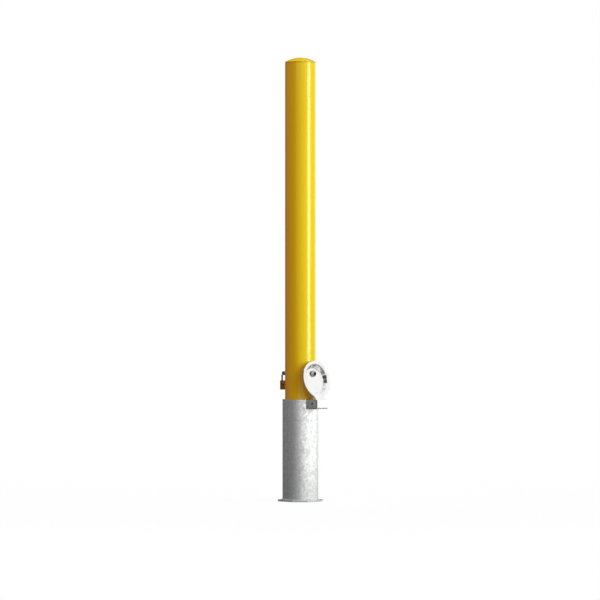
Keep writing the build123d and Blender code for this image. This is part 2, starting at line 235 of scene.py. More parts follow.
def finish_node(node, material):
    """Give a CAD node that stays in view its material."""
    for slot in frame["nodes"][node].material_slots:
        slot.material = material


def settle(piece, body, slot, *nodes):
    """Let a piece ride on its body and stand for the nodes it replaces; the slot is not used."""
    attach(piece, body)
    if nodes:
        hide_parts(*nodes)


def flat_side_normal(node):
    """Return the normal of a node's largest flat side."""
    areas = {}
    for polygon in frame["nodes"][node].data.polygons:
        key = tuple(round(c, 2) for c in polygon.normal)
        areas[key] = areas.get(key, 0.0) + polygon.area
    return Vector(max(areas, key=areas.get)).normalized()


def put(tree, kind, inputs=None, **settings):
    """Add a node, set its options, and set or link its inputs."""
    made = tree.nodes.new(kind)
    for key, value in settings.items():
        setattr(made, key, value)
    for key, value in (inputs or {}).items():
        if isinstance(value, bpy.types.NodeSocket):
            tree.links.new(value, made.inputs[key])
        else:
            made.inputs[key].default_value = value
    return made


def output(tree, kind, inputs=None, **settings):
    """Add a node and return its first output."""
    return put(tree, kind, inputs, **settings).outputs[0]


def calc(tree, operation, *values):
    """Add a Math node and return its result."""
    return output(tree, "ShaderNodeMath", dict(enumerate(values)), operation=operation)


def vector_calc(tree, operation, *values, out=0):
    """Add a Vector Math node and return its result."""
    return put(tree, "ShaderNodeVectorMath", dict(enumerate(values)), operation=operation).outputs[out]


def scaled(tree, vector, factor):
    """Scale a vector by a number or by another node's value."""
    return output(tree, "ShaderNodeVectorMath", {0: vector, "Scale": factor}, operation="SCALE")


def mix_colors(tree, factor, first, second):
    """Mix two colours by a factor."""
    return put(tree, "ShaderNodeMix", {0: factor, 6: first, 7: second}, data_type="RGBA").outputs[2]


def weighted(tree, *terms):
    """Return the sum of some values, each times its share."""
    parts = [calc(tree, "MULTIPLY", value, share) for value, share in terms]
    total = parts[0]
    for part in parts[1:]:
        total = calc(tree, "ADD", total, part)
    return total


def mapped(tree, value, low, high, to_low=0.0, to_high=1.0):
    """Map a range onto another, clamped."""
    inputs = {"Value": value, "From Min": low, "From Max": high, "To Min": to_low, "To Max": to_high}
    return output(tree, "ShaderNodeMapRange", inputs)


def noise(tree, vector, scale, detail=3.0, roughness=0.5):
    """Add a Noise Texture and return its value."""
    inputs = {"Vector": vector, "Scale": scale, "Detail": detail, "Roughness": roughness}
    return output(tree, "ShaderNodeTexNoise", inputs)


def group(name, kind, ins, outs):
    """Start a node group with the named inputs and outputs."""
    tree = bpy.data.node_groups.new(name, kind)
    for label, socket, default in ins:
        made = tree.interface.new_socket(label, in_out="INPUT", socket_type=socket)
        if default is not None:
            made.default_value = default
    for label, socket in outs:
        tree.interface.new_socket(label, in_out="OUTPUT", socket_type=socket)
    return tree, tree.nodes.new("NodeGroupInput").outputs, tree.nodes.new("NodeGroupOutput").inputs


def skin_group(name, *ins):
    """Start a shader group that gives a colour, a roughness and a height."""
    return group(name, "ShaderNodeTree", ins, [("Color", COLOR), ("Roughness", FLOAT), ("Height", FLOAT)])


def object_place(tree):
    """Return the place of a shading point in its object's own frame."""
    return tree.nodes.new("ShaderNodeTexCoord").outputs["Object"]


def bare_material(name):
    """Return a new material and its empty node tree."""
    material = bpy.data.materials.new(name)
    material.use_nodes = True
    material.node_tree.nodes.clear()
    return material, material.node_tree


def rgba(color):
    """Return a colour property with its alpha."""
    return (color[0], color[1], color[2], 1.0)


def paint_film_group():
    """Baked paint: a slow drift of shade and a fine orange peel."""
    tree, ins, outs = skin_group(
        "Paint film",
        ("Paint Color", COLOR, (0.8, 0.6, 0.01, 1)),
        ("Thin Color", COLOR, (0.7, 0.4, 0.01, 1)),
        ("Peel Size", FLOAT, 0.003),
        ("Roughness", FLOAT, 0.25),
        ("Seam Level", FLOAT, 1.0),
        ("Seam Dirt", FLOAT, 0.5),
    )
    place = object_place(tree)
    drift = noise(tree, place, scale=9.0, detail=4.0, roughness=0.55)
    tone = mapped(tree, drift, 0.35, 0.7, to_high=0.18)
    film = mix_colors(tree, tone, ins["Paint Color"], ins["Thin Color"])
    level = put(tree, "ShaderNodeSeparateXYZ", {0: place}).outputs[2]
    off_seam = calc(tree, "ABSOLUTE", calc(tree, "SUBTRACT", level, ins["Seam Level"]))
    # Dirt and painted shade: the paint turns dark brown in a thin band at the seam under the cap.
    dirt_and_shade = calc(tree, "MULTIPLY", mapped(tree, off_seam, 0.6 * MM, 1.4 * MM, 1.0, 0.0), ins["Seam Dirt"])
    tree.links.new(mix_colors(tree, dirt_and_shade, film, SEAM_DIRT_AND_SHADE_COLOR), outs["Color"])
    peel_scale = calc(tree, "DIVIDE", 1.0, ins["Peel Size"])
    peel = noise(tree, place, peel_scale, detail=1.5, roughness=0.4)
    tree.links.new(peel, outs["Height"])
    haze = noise(tree, place, scale=28.0, detail=3.0, roughness=0.6)
    dulled = mapped(tree, haze, 0.3, 0.75, -0.02, 0.04)
    tree.links.new(calc(tree, "ADD", ins["Roughness"], dulled), outs["Roughness"])
    return tree


def zinc_skin_group():
    """Hot-dip zinc: crystal spangle, cloudy patches, runs down the walls and one tube seam."""
    tree, ins, outs = skin_group(
        "Zinc skin",
        ("Light Color", COLOR, (0.62, 0.63, 0.62, 1)),
        ("Dark Color", COLOR, (0.42, 0.43, 0.43, 1)),
        ("Spangle Size", FLOAT, 0.005),
        ("Roughness", FLOAT, 0.42),
        ("Seam Half Width", FLOAT, 0.0),
    )
    place = object_place(tree)
    warp = put(tree, "ShaderNodeTexNoise", {"Vector": place, "Scale": 160.0, "Detail": 2.0}).outputs[1]
    bend = scaled(tree, vector_calc(tree, "SUBTRACT", warp, (0.5, 0.5, 0.5)), 4 * MM)
    point = vector_calc(tree, "ADD", place, bend)
    cell_scale = calc(tree, "DIVIDE", 1.0, ins["Spangle Size"])
    cells = put(tree, "ShaderNodeTexVoronoi", {"Vector": point, "Scale": cell_scale})
    small_scale = calc(tree, "MULTIPLY", cell_scale, 2.3)
    small = put(tree, "ShaderNodeTexVoronoi", {"Vector": point, "Scale": small_scale})
    first = output(tree, "ShaderNodeSeparateColor", {0: cells.outputs["Color"]})
    second = put(tree, "ShaderNodeSeparateColor", {0: small.outputs["Color"]}).outputs[1]
    crystal = weighted(tree, (first, 0.62), (second, 0.38))
    cloud = noise(tree, place, scale=22.0, detail=5.0, roughness=0.6)
    stretched = vector_calc(tree, "MULTIPLY", place, (60.0, 60.0, 4.0))
    runs = noise(tree, stretched, scale=1.0, detail=2.0, roughness=0.5)
    tone = mapped(tree, weighted(tree, (crystal, 0.5), (cloud, 0.35), (runs, 0.25)), 0.28, 0.82)
    x, y, _ = put(tree, "ShaderNodeSeparateXYZ", {0: place}).outputs
    core = calc(tree, "MULTIPLY", ins["Seam Half Width"], 0.25)
    seam = mapped(tree, calc(tree, "ABSOLUTE", x), core, ins["Seam Half Width"], 1.0, 0.0)
    on_side = calc(tree, "LESS_THAN", y, 0.0)
    has_seam = calc(tree, "GREATER_THAN", ins["Seam Half Width"], 0.0)
    seam = calc(tree, "MULTIPLY", seam, calc(tree, "MULTIPLY", on_side, has_seam))
    tone = mapped(tree, weighted(tree, (tone, 1.0), (seam, -0.7)), 0.0, 1.0)
    tree.links.new(mix_colors(tree, tone, ins["Dark Color"], ins["Light Color"]), outs["Color"])
    rough = calc(tree, "ADD", ins["Roughness"], mapped(tree, crystal, 0.1, 0.9, 0.09, -0.09))
    rough = calc(tree, "ADD", rough, calc(tree, "MULTIPLY", seam, 0.12))
    tree.links.new(rough, outs["Roughness"])
    tree.links.new(weighted(tree, (crystal, 0.35), (runs, 0.65), (seam, -1.2)), outs["Height"])
    return tree


def ring_polish_group():
    """Sheet metal polished in rings about one axis, with a few stray marks."""
    tree, ins, outs = skin_group(
        "Ring polish",
        ("Metal Color", COLOR, (0.8, 0.8, 0.79, 1)),
        ("Mark Color", COLOR, (0.6, 0.6, 0.59, 1)),
        ("Centre", VECTOR, (0, 0, 0)),
        ("Axis", VECTOR, (0, 0, 1)),
        ("Ring Pitch", FLOAT, 0.0006),
        ("Roughness", FLOAT, 0.16),
    )
    place = object_place(tree)
    arm = vector_calc(tree, "SUBTRACT", place, ins["Centre"])
    along = vector_calc(tree, "DOT_PRODUCT", arm, ins["Axis"], out=1)
    flat = vector_calc(tree, "SUBTRACT", arm, scaled(tree, ins["Axis"], along))
    radius = vector_calc(tree, "LENGTH", flat, out=1)
    ring = calc(tree, "DIVIDE", radius, ins["Ring Pitch"])
    layer = calc(tree, "DIVIDE", along, ins["Ring Pitch"])
    rings = output(tree, "ShaderNodeCombineXYZ", {0: ring, 1: layer})
    wander = scaled(tree, vector_calc(tree, "NORMALIZE", flat), 1.4)
    line = noise(tree, vector_calc(tree, "ADD", rings, wander), scale=1.0, detail=3.0, roughness=0.6)
    tree.links.new(line, outs["Height"])
    stain = noise(tree, place, scale=45.0, detail=4.0, roughness=0.6)
    tone = mapped(tree, stain, 0.5, 0.75, to_high=0.5)
    tree.links.new(mix_colors(tree, tone, ins["Metal Color"], ins["Mark Color"]), outs["Color"])
    rough = calc(tree, "ADD", ins["Roughness"], mapped(tree, line, 0.3, 0.7, -0.03, 0.05))
    rough = calc(tree, "ADD", rough, mapped(tree, stain, 0.45, 0.75, to_high=0.08))
    tree.links.new(rough, outs["Roughness"])
    return tree


def worked_metal_group():
    """Drawn or milled metal: fine lines one way, and a film that gathers in patches."""
    tree, ins, outs = skin_group(
        "Worked metal",
        ("Metal Color", COLOR, (0.6, 0.4, 0.15, 1)),
        ("Film Color", COLOR, (0.3, 0.18, 0.07, 1)),
        ("Line Density", VECTOR, (400.0, 400.0, 3000.0)),
        ("Film", FLOAT, 0.5),
        ("Roughness", FLOAT, 0.3),
    )
    place = object_place(tree)
    lined = vector_calc(tree, "MULTIPLY", place, ins["Line Density"])
    line = noise(tree, lined, scale=1.0, detail=2.0, roughness=0.6)
    patch = noise(tree, place, scale=130.0, detail=5.0, roughness=0.65)
    tone = calc(tree, "MULTIPLY", mapped(tree, patch, 0.35, 0.7), ins["Film"])
    tree.links.new(mix_colors(tree, tone, ins["Metal Color"], ins["Film Color"]), outs["Color"])
    rough = calc(tree, "ADD", ins["Roughness"], calc(tree, "MULTIPLY", tone, 0.18))
    rough = calc(tree, "ADD", rough, mapped(tree, line, 0.3, 0.7, -0.03, 0.05))
    tree.links.new(rough, outs["Roughness"])
    tree.links.new(line, outs["Height"])
    return tree


def shared_group(name, maker):
    """Return a shared node group, made on first use."""
    return bpy.data.node_groups.get(name) or maker()


def skinned_material(name, tree, inputs, height, **shader):
    """Build a Principled material whose varying sockets are fed by one shared group."""
    name += "_skin"
    material = bpy.data.materials.get(name)
    if material is not None:
        return material
    material = bpy.data.materials.new(name)
    material.use_nodes = True
    nodes = material.node_tree
    principled = nodes.nodes["Principled BSDF"]
    skin = put(nodes, "ShaderNodeGroup")
    skin.node_tree = tree
    for label, value in inputs.items():
        skin.inputs[label].default_value = value
    for label, value in shader.items():
        principled.inputs[label.replace("_", " ")].default_value = value
    nodes.links.new(skin.outputs["Color"], principled.inputs["Base Color"])
    nodes.links.new(skin.outputs["Roughness"], principled.inputs["Roughness"])
    bump = output(nodes, "ShaderNodeBump", {"Height": skin.outputs["Height"], "Distance": height})
    nodes.links.new(bump, principled.inputs["Normal"])
    return material


class PaintSettings(bpy.types.PropertyGroup):
    """Look of the painted post."""

    color: FloatVectorProperty(
        name="Paint Color", description="Main colour of the paint", subtype="COLOR", size=3, min=0, max=1,
        default=(0.70, 0.52, 0.007),
    )
    thin_color: FloatVectorProperty(
        name="Thin Color", description="Colour where the film is thin", subtype="COLOR", size=3, min=0, max=1,
        default=(0.68, 0.46, 0.007),
    )
    roughness: FloatProperty(
        name="Roughness", description="Roughness of the paint", default=0.3, min=0, max=1
    )
    peel_size: FloatProperty(
        name="Peel Size", description="Width of one dimple of the orange peel", default=0.0035, min=0.0005,
        max=0.02, unit="LENGTH",
    )
    wall: FloatProperty(
        name="Pipe Wall", description="Wall of the post's pipe", default=0.0028, min=0.001, max=0.01, unit="LENGTH"
    )
    seam_height: FloatProperty(
        name="Seam Height", description="Height of the groove under the cap", default=0.0010, min=0.0002,
        max=0.01, unit="LENGTH",
    )
    seam_depth: FloatProperty(
        name="Seam Depth", description="Depth of the groove under the cap", default=0.0014, min=0.0002, max=0.0025,
        unit="LENGTH",
    )
    # Dirt and painted shade in the seam under the cap.
    seam_dirt_and_shade: FloatProperty(
        name="Seam Dirt", description="How much dirt sits in the seam under the cap", default=0.35, min=0, max=1
    )
    turns: IntProperty(name="Segments", description="Segments around the pipe", default=192, min=48, max=384)


class ZincSettings(bpy.types.PropertyGroup):
    """Look of the galvanised sleeve and hinge box."""

    light_color: FloatVectorProperty(
        name="Light Color", description="Colour of the bright crystals", subtype="COLOR", size=3, min=0, max=1,
        default=(0.65, 0.66, 0.65),
    )
    dark_color: FloatVectorProperty(
        name="Dark Color", description="Colour of the dull crystals", subtype="COLOR", size=3, min=0, max=1,
        default=(0.47, 0.48, 0.475),
    )
    spangle: FloatProperty(
        name="Spangle Size", description="Width of one zinc crystal", default=0.005, min=0.001, max=0.03,
        unit="LENGTH",
    )
    roughness: FloatProperty(name="Roughness", description="Roughness of the zinc", default=0.6, min=0, max=1)
    wall: FloatProperty(
        name="Sleeve Wall", description="Wall of the sleeve's pipe", default=0.0032, min=0.001, max=0.01,
        unit="LENGTH",
    )
    bead: FloatProperty(
        name="Weld Bead", description="Half the width of a weld bead", default=0.0021, min=0.0005, max=0.006,
        unit="LENGTH",
    )
    ripple: FloatProperty(
        name="Weld Ripple", description="Distance between two ripples of a weld", default=0.0016, min=0.0005,
        max=0.01, unit="LENGTH",
    )


class MetalSettings(bpy.types.PropertyGroup):
    """Look of the lid, the rod and the padlock."""

    lid_color: FloatVectorProperty(
        name="Lid Color", description="Colour of the polished lid", subtype="COLOR", size=3, min=0, max=1,
        default=(0.93, 0.93, 0.925),
    )
    lid_roughness: FloatProperty(
        name="Lid Roughness", description="Roughness of the polished lid", default=0.11, min=0, max=1
    )
    rod_color: FloatVectorProperty(
        name="Rod Color", description="Colour of the locking rod", subtype="COLOR", size=3, min=0, max=1,
        default=(0.64, 0.56, 0.47),
    )
    brass_color: FloatVectorProperty(
        name="Brass Color", description="Colour of the padlock's brass", subtype="COLOR", size=3, min=0, max=1,
        default=(0.6, 0.24, 0.05),
    )
    film_color: FloatVectorProperty(
        name="Brass Film Color", description="Colour of the tarnish on the brass", subtype="COLOR", size=3, min=0,
        max=1, default=(0.2, 0.06, 0.012),
    )
    socket_width: FloatProperty(
        name="Socket Width", description="Width across the flats of the rod head's hexagonal socket",
        default=0.0075, min=0.001, max=0.012, unit="LENGTH",
    )
    socket_depth: FloatProperty(
        name="Socket Depth", description="Depth of the rod head's socket", default=0.003, min=0.0005, max=0.005,
        unit="LENGTH",
    )
    edge: FloatProperty(
        name="Edge Rounding", description="Rounding of cut edges", default=0.0003, min=0.00005, max=0.002,
        unit="LENGTH",
    )


class StageSettings(bpy.types.PropertyGroup):
    """Camera, lights and floor."""

    distance: FloatProperty(
        name="Camera Distance", description="Distance from the post's axis", default=9.0, min=1, max=50,
        unit="LENGTH",
    )
    lens: FloatProperty(name="Lens", description="Focal length in millimetres", default=217.0, min=10, max=500)
    height: FloatProperty(
        name="Camera Height", description="Height of the level camera", default=0.5, min=0, max=5, unit="LENGTH"
    )
    key_radiance: FloatProperty(
        name="Key Brightness", description="Brightness of the tall strip light", default=7.1, min=0, max=100
    )
    soft_radiance: FloatProperty(
        name="Soft Brightness", description="Brightness of the broad light", default=2.2, min=0, max=100
    )
    soft_tint: FloatVectorProperty(
        name="Soft Tint", description="Colour of the broad light and the cap's light", subtype="COLOR", size=3,
        min=0, max=1, default=(0.85, 1.0, 0.67),
    )
    low_radiance: FloatProperty(
        name="Low Brightness", description="Brightness of the small light near the post's foot", default=1.5,
        min=0, max=100,
    )
    low_tint: FloatVectorProperty(
        name="Low Tint", description="Colour of the small light near the post's foot", subtype="COLOR", size=3,
        default=(1.0, 0.65, 0.4), min=0, max=1,
    )
    key_tint: FloatVectorProperty(
        name="Key Tint", description="Colour of the tall strip light", subtype="COLOR", size=3, min=0, max=1,
        default=(0.74, 1.0, 0.82),
    )
    top_radiance: FloatProperty(
        name="Top Brightness", description="Brightness of the light above the post", default=3.0, min=0, max=100
    )
    zinc_radiance: FloatProperty(
        name="Zinc Brightness", description="Brightness of the light kept for the zinc", default=2.05, min=0,
        max=100,
    )
    surroundings: FloatProperty(
        name="Surroundings", description="Brightness of the grey cards that polished faces reflect", default=0.18,
        min=0, max=2,
    )
    black_card: FloatProperty(
        name="Black Cards", description="Brightness of the dark cards that polished faces reflect", default=0.02,
        min=0, max=1,
    )
    ambient: FloatVectorProperty(
        name="Ambient", description="Light from all around", subtype="COLOR", size=3, min=0, max=4,
        default=(0.49, 0.265, 0.28),
    )
    floor_radius: FloatProperty(
        name="Floor Radius", description="Radius of the pale floor", default=1.4, min=0.3, max=10, unit="LENGTH"
    )
    floor_color: FloatVectorProperty(
        name="Floor Color", description="Colour of the floor", subtype="COLOR", size=3, min=0, max=1,
        default=(0.22, 0.30, 0.30),
    )
    floor_mirrored_color: FloatVectorProperty(
        name="Mirrored Floor Color", description="Colour of the floor in polished faces", subtype="COLOR", size=3,
        min=0, max=1, default=(0.29, 0.40, 0.40),
    )
    floor_glow: FloatProperty(
        name="Floor Glow", description="Brightness that lifts the floor to the white around it", default=0.85,
        min=0, max=1,
    )


def paint_material():
    """Yellow baked paint."""
    look = bpy.context.scene.bollard_paint
    tree = shared_group("Paint film", paint_film_group)
    inputs = {
        "Paint Color": rgba(look.color),
        "Thin Color": rgba(look.thin_color),
        "Peel Size": look.peel_size,
        "Roughness": look.roughness,
        "Seam Level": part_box("post_tube")[1].z - 0.4 * look.seam_height,
        "Seam Dirt": look.seam_dirt_and_shade,
    }
    return skinned_material(
        "yellow_paint", tree, inputs, 0.03 * MM, Specular_IOR_Level=0.0, Coat_Weight=1.0, Coat_Roughness=0.08
    )


def zinc_material(name="galvanised_steel", seam=0.0, shade=1.0):
    """Hot-dip galvanised steel."""
    look = bpy.context.scene.bollard_zinc
    tree = shared_group("Zinc skin", zinc_skin_group)
    inputs = {
        "Light Color": rgba([c * shade for c in look.light_color]),
        "Dark Color": rgba([c * shade for c in look.dark_color]),
        "Spangle Size": look.spangle,
        "Roughness": look.roughness,
        "Seam Half Width": seam,
    }
    return skinned_material(name, tree, inputs, 0.1 * MM, Metallic=1.0)


def dull_shaded_zinc_material():
    """Zinc over sheared edges and welds, darker than on the rolled faces: partly duller zinc, partly painted shade
    along the hinge box's edges and beside its cheeks.
    """
    return zinc_material("galvanised_dull_and_shaded", shade=0.55)


def lid_material():
    """Polished stainless sheet."""
    look = bpy.context.scene.bollard_metal
    tree = shared_group("Ring polish", ring_polish_group)
    axis = flat_side_normal("lid")
    low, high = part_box("lid")
    pin_low, pin_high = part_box("hinge_pin")
    hinge = (pin_low + pin_high) / 2
    up = Vector((0, -1, 0)).cross(axis)
    if up.z < 0:
        up.negate()
    reach = (high.z - hinge.z) / up.z - (high.y - low.y) / 2
    inputs = {
        "Metal Color": rgba(look.lid_color),
        "Mark Color": rgba([c * 0.8 for c in look.lid_color]),
        "Centre": hinge + up * reach,
        "Axis": axis,
        "Roughness": look.lid_roughness,
    }
    return skinned_material("polished_stainless", tree, inputs, 0.006 * MM, Metallic=1.0)


def worked_material(name, color, film_color, roughness, film=0.5, lines=EVEN_LINES):
    """Drawn or milled metal."""
    tree = shared_group("Worked metal", worked_metal_group)
    inputs = {
        "Metal Color": rgba(color),
        "Film Color": rgba(film_color),
        "Film": film,
        "Roughness": roughness,
        "Line Density": lines,
    }
    return skinned_material(name, tree, inputs, 0.02 * MM, Metallic=1.0)


def steel_material():
    """Plated steel of the rod."""
    color = bpy.context.scene.bollard_metal.rod_color
    film_color = [c * 0.45 for c in color]
    drawn = (4000.0, 600.0, 600.0)
    return worked_material("plated_steel", color, film_color, roughness=0.2, film=0.6, lines=drawn)


def brass_material():
    """Tarnished brass."""
    look = bpy.context.scene.bollard_metal
    milled = (500.0, 500.0, 4500.0)
    return worked_material("brass", look.brass_color, look.film_color, roughness=0.3, film=0.8, lines=milled)


def shackle_material():
    """Plated hardened steel."""
    return worked_material("shackle_steel", SHACKLE_COLOR, SHACKLE_FILM_COLOR, roughness=0.25)


def black_steel_and_shade_material():
    """Black steel of the rolled hinge pin and of the socket in the rod's head, dark partly as painted shade in the
    pin's hole and in the socket.
    """
    return worked_material("black_steel_and_shade", BLACK_STEEL_AND_SHADE_COLOR, BLACK_FILM_AND_SHADE_COLOR, roughness=0.4)


def spring_material():
    """Spring steel."""
    return worked_material("spring_steel", SPRING_COLOR, SPRING_FILM_COLOR, roughness=0.35)


def weld_nodes():
    """Geometry Nodes group that lays overlapping ripples of weld metal along a path."""
    tree, ins, outs = group(
        "Weld bead",
        "GeometryNodeTree",
        [
            ("Geometry", "NodeSocketGeometry", None),
            ("Half Width", FLOAT, 0.002),
            ("Ripple", FLOAT, 0.0016),
            ("Unevenness", FLOAT, 0.12),
            ("Seed", "NodeSocketInt", 3),
            ("Material", "NodeSocketMaterial", None),
        ],
        [("Geometry", "NodeSocketGeometry")],
    )
    curve = output(tree, "GeometryNodeMeshToCurve", {0: ins["Geometry"]})
    even = output(tree, "GeometryNodeResampleCurve", {"Curve": curve, "Length": ins["Ripple"]}, mode="LENGTH")
    tangent = output(tree, "GeometryNodeInputTangent")
    aim = output(tree, "FunctionNodeAlignEulerToVector", {"Vector": tangent}, axis="X")
    ball = output(tree, "GeometryNodeMeshUVSphere", {"Segments": 18, "Rings": 10})
    smooth = output(tree, "GeometryNodeSetShadeSmooth", {0: ball})
    swing = calc(tree, "MULTIPLY", ins["Half Width"], ins["Unevenness"])
    low = calc(tree, "SUBTRACT", ins["Half Width"], swing)
    high = calc(tree, "ADD", ins["Half Width"], swing)
    across = put(tree, "FunctionNodeRandomValue", {2: low, 3: high, "Seed": ins["Seed"]}, data_type="FLOAT")
    long = calc(tree, "MULTIPLY", ins["Ripple"], 1.5)
    size = output(tree, "ShaderNodeCombineXYZ", {0: long, 1: across.outputs[1], 2: across.outputs[1]})
    places = {"Points": even, "Instance": smooth, "Rotation": aim, "Scale": size}
    spots = output(tree, "GeometryNodeInstanceOnPoints", places)
    real = output(tree, "GeometryNodeRealizeInstances", {0: spots})
    done = output(tree, "GeometryNodeSetMaterial", {"Geometry": real, "Material": ins["Material"]})
    tree.links.new(done, outs["Geometry"])
    return tree


def weld_piece(name, paths, half_width, material):
    """Lay weld beads along open or closed paths and return one plain mesh."""
    bm = bmesh.new()
    for points, loop in paths:
        dots = [bm.verts.new(point) for point in points]
        for first, second in zip(dots, dots[1:]):
            bm.edges.new((first, second))
        if loop:
            bm.edges.new((dots[-1], dots[0]))
    piece = link(name, bm, material)
    tree = shared_group("Weld bead", weld_nodes)
    bead = piece.modifiers.new("Weld bead", "NODES")
    bead.node_group = tree
    ripple = bpy.context.scene.bollard_zinc.ripple
    values = {"Half Width": half_width, "Ripple": ripple, "Unevenness": 0.12, "Seed": 7, "Material": material}
    for item in tree.interface.items_tree:
        if item.in_out == "INPUT" and item.name in values:
            bead[item.identifier] = values[item.name]
    return baked(piece)


class BOLLARD_OT_post(bpy.types.Operator):
    """Build the painted post: pipe, cap and the guide tube across it"""

    bl_idname = "bollard.post"
    bl_label = "Post"

    def execute(self, context):
        look = context.scene.bollard_paint
        paint = paint_material()
        low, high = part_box("post_tube")
        tube_low, tube_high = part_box("rod_guide_tube")
        radius = high.x
        inner = radius - look.wall
        groove = radius - look.seam_depth
        foot_round = 1.2 * MM
        groove_round = 0.25 * MM
        edge_round = 0.2 * MM
        inner_foot_round = 0.3 * MM
        corners = [
            (radius, low.z, foot_round),
            (radius, high.z - look.seam_height, groove_round),
            (groove, high.z - look.seam_height, 0),
            (groove, high.z, edge_round),
            (inner, high.z, edge_round),
            (inner, low.z, inner_foot_round),
        ]
        post = lathe_piece("post_pipe", rounded(corners, steps=4), look.turns, paint)
        bore_radius = (tube_high.z - tube_low.z) / 2 + 0.02 * MM
        bore_middle = Vector((0, 0, (tube_low.z + tube_high.z) / 2))
        cut_away(post, crosswise_bar("bore", bore_middle, bore_radius, 4 * radius, sides=96))
        pipe_normals(post, inner, radius)
        settle(post, "post", "yellow_paint", "post_tube")
        finish_node("post_cap", paint)
        finish_node("rod_guide_tube", paint)
        return {"FINISHED"}


class BOLLARD_OT_sleeve(bpy.types.Operator):
    """Build the galvanised sleeve on its base plate, with the weld around its foot"""

    bl_idname = "bollard.sleeve"
    bl_label = "Ground Sleeve"

    def execute(self, context):
        look = context.scene.bollard_zinc
        zinc = zinc_material()
        seamed = zinc_material("galvanised_seamed_pipe", seam=1.6 * MM)
        low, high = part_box("sleeve_tube")
        outer = high.x
        inner = outer - look.wall
        foot_round = 0.2 * MM
        rim_round = 0.6 * MM
        corners = [
            (outer, low.z, foot_round),
            (outer, high.z, rim_round),
            (inner, high.z, rim_round),
            (inner, low.z, foot_round),
        ]
        sleeve = lathe_piece("sleeve_pipe", rounded(corners), SLEEVE_TURNS, seamed)
        softened(sleeve, 0)
        settle(sleeve, "sleeve", "galvanised_steel", "sleeve_tube")
        plate_edge = 0.7 * MM
        # The base plate takes a darker copy of the zinc: painted shade.
        plate = node_piece("base_plate", plate_edge, zinc_material("galvanised_plate_painted_shade", shade=0.85))
        settle(plate, "sleeve", "galvanised_steel", "base_plate")
        ring = []
        stand_off = 0.2 * look.bead
        reach = outer + stand_off
        for degree in range(360):
            turn = math.radians(degree)
            ring.append((reach * math.cos(turn), reach * math.sin(turn), low.z + stand_off))
        bead = weld_piece("foot_weld", [(ring, True)], look.bead, zinc)
        settle(bead, "sleeve", "galvanised_steel")
        return {"FINISHED"}


class BOLLARD_OT_hinge_box(bpy.types.Operator):
    """Build the hinge box on the sleeve's rim, with its pin and welds"""

    bl_idname = "bollard.hinge_box"
    bl_label = "Hinge Box"

    def execute(self, context):
        look = context.scene.bollard_zinc
        zinc = zinc_material()
        edge = 0.45 * MM
        faces_sideways = 0.8
        for node in ("hinge_strap", "hinge_cheek_left", "hinge_cheek_right"):
            piece = node_piece(node, edge, zinc)
            if node == "hinge_strap":
                # The strap's side faces take the darker zinc: duller sheared edges and painted shade.
                piece.data.materials.append(dull_shaded_zinc_material())
                for polygon in piece.data.polygons:
                    if abs(polygon.normal.y) > faces_sideways:
                        polygon.material_index = 1
            settle(piece, "sleeve", "galvanised_steel", node)
        pin = node_piece("hinge_pin", FINE_EDGE, black_steel_and_shade_material(), segments=2)
        settle(pin, "sleeve", "spring_steel", "hinge_pin")
        low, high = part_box("hinge_strap")
        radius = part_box("sleeve_tube")[1].x
        half = high.y
        small = look.bead * 0.62
        stand_off = 0.3 * small
        side_end = 1.2 * MM
        under_end = 1.0 * MM
        x = math.sqrt(radius**2 - half**2) + stand_off
        heights = spread(low.z + side_end, high.z - side_end, count=24)
        sides = [([(x, side * (half + stand_off), z) for z in heights], False) for side in (-1, 1)]
        under = []
        for y in spread(-half + under_end, half - under_end, count=40):
            under.append((math.sqrt(radius**2 - y**2) + stand_off, y, low.z - stand_off))
        # The side welds take the darker zinc: duller weld metal and painted shade beside the cheeks.
        side_bead = weld_piece("hinge_side_welds", sides, small, dull_shaded_zinc_material())
        settle(side_bead, "sleeve", "galvanised_steel")
        under_zinc = zinc_material("galvanised_weld", shade=0.9)
        under_bead = weld_piece("hinge_under_weld", [(under, False)], small, under_zinc)
        settle(under_bead, "sleeve", "galvanised_steel")
        return {"FINISHED"}


class BOLLARD_OT_lid(bpy.types.Operator):
    """Build the pressed lid with its rounded sheet edges"""

    bl_idname = "bollard.lid"
    bl_label = "Lid"

    def execute(self, context):
        look = context.scene.bollard_metal
        lid = node_piece("lid", look.edge, lid_material(), angle=40.0)
        settle(lid, "lid", "polished_stainless", "lid")
        return {"FINISHED"}


class BOLLARD_OT_rod(bpy.types.Operator):
    """Build the headed locking rod"""

    bl_idname = "bollard.rod"
    bl_label = "Locking Rod"

    def execute(self, context):
        look = context.scene.bollard_metal
        rod = node_piece("locking_rod", 0, steel_material())
        low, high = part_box("locking_rod")
        middle = Vector((high.x, (low.y + high.y) / 2, (low.z + high.z) / 2))
        corner_reach = look.socket_width / math.sqrt(3)
        cut_away(rod, crosswise_bar("socket", middle, corner_reach, 2 * look.socket_depth, sides=6))
        # The socket's faces take the dark steel: painted shade in the recess.
        rod.data.materials.append(black_steel_and_shade_material())
        socket_floor = -look.socket_depth - 0.1 * MM
        for polygon in rod.data.polygons:
            arm = polygon.center - middle
            if arm.x > socket_floor and arm.yz.length < corner_reach:
                polygon.material_index = 1
        softened(rod, look.edge)
        settle(rod, "rod", "plated_steel", "locking_rod")
        return {"FINISHED"}


class BOLLARD_OT_padlock(bpy.types.Operator):
    """Finish the padlock: body, shackle, plug, latch, pins and springs"""

    bl_idname = "bollard.padlock"
    bl_label = "Padlock"

    def execute(self, context):
        brass = brass_material()
        body = node_piece("padlock_body", FINE_EDGE, brass, segments=2)
        settle(body, "padlock", "brass", "padlock_body")
        finish_node("padlock_shackle", shackle_material())
        for node in ("padlock_plug", "padlock_latch", "key_pins", "driver_pins", "pin_cover_strip"):
            finish_node(node, brass)
        for node in ("latch_spring", "shackle_spring", "pin_springs", "plug_retainer_pin"):
            finish_node(node, spring_material())
        return {"FINISHED"}


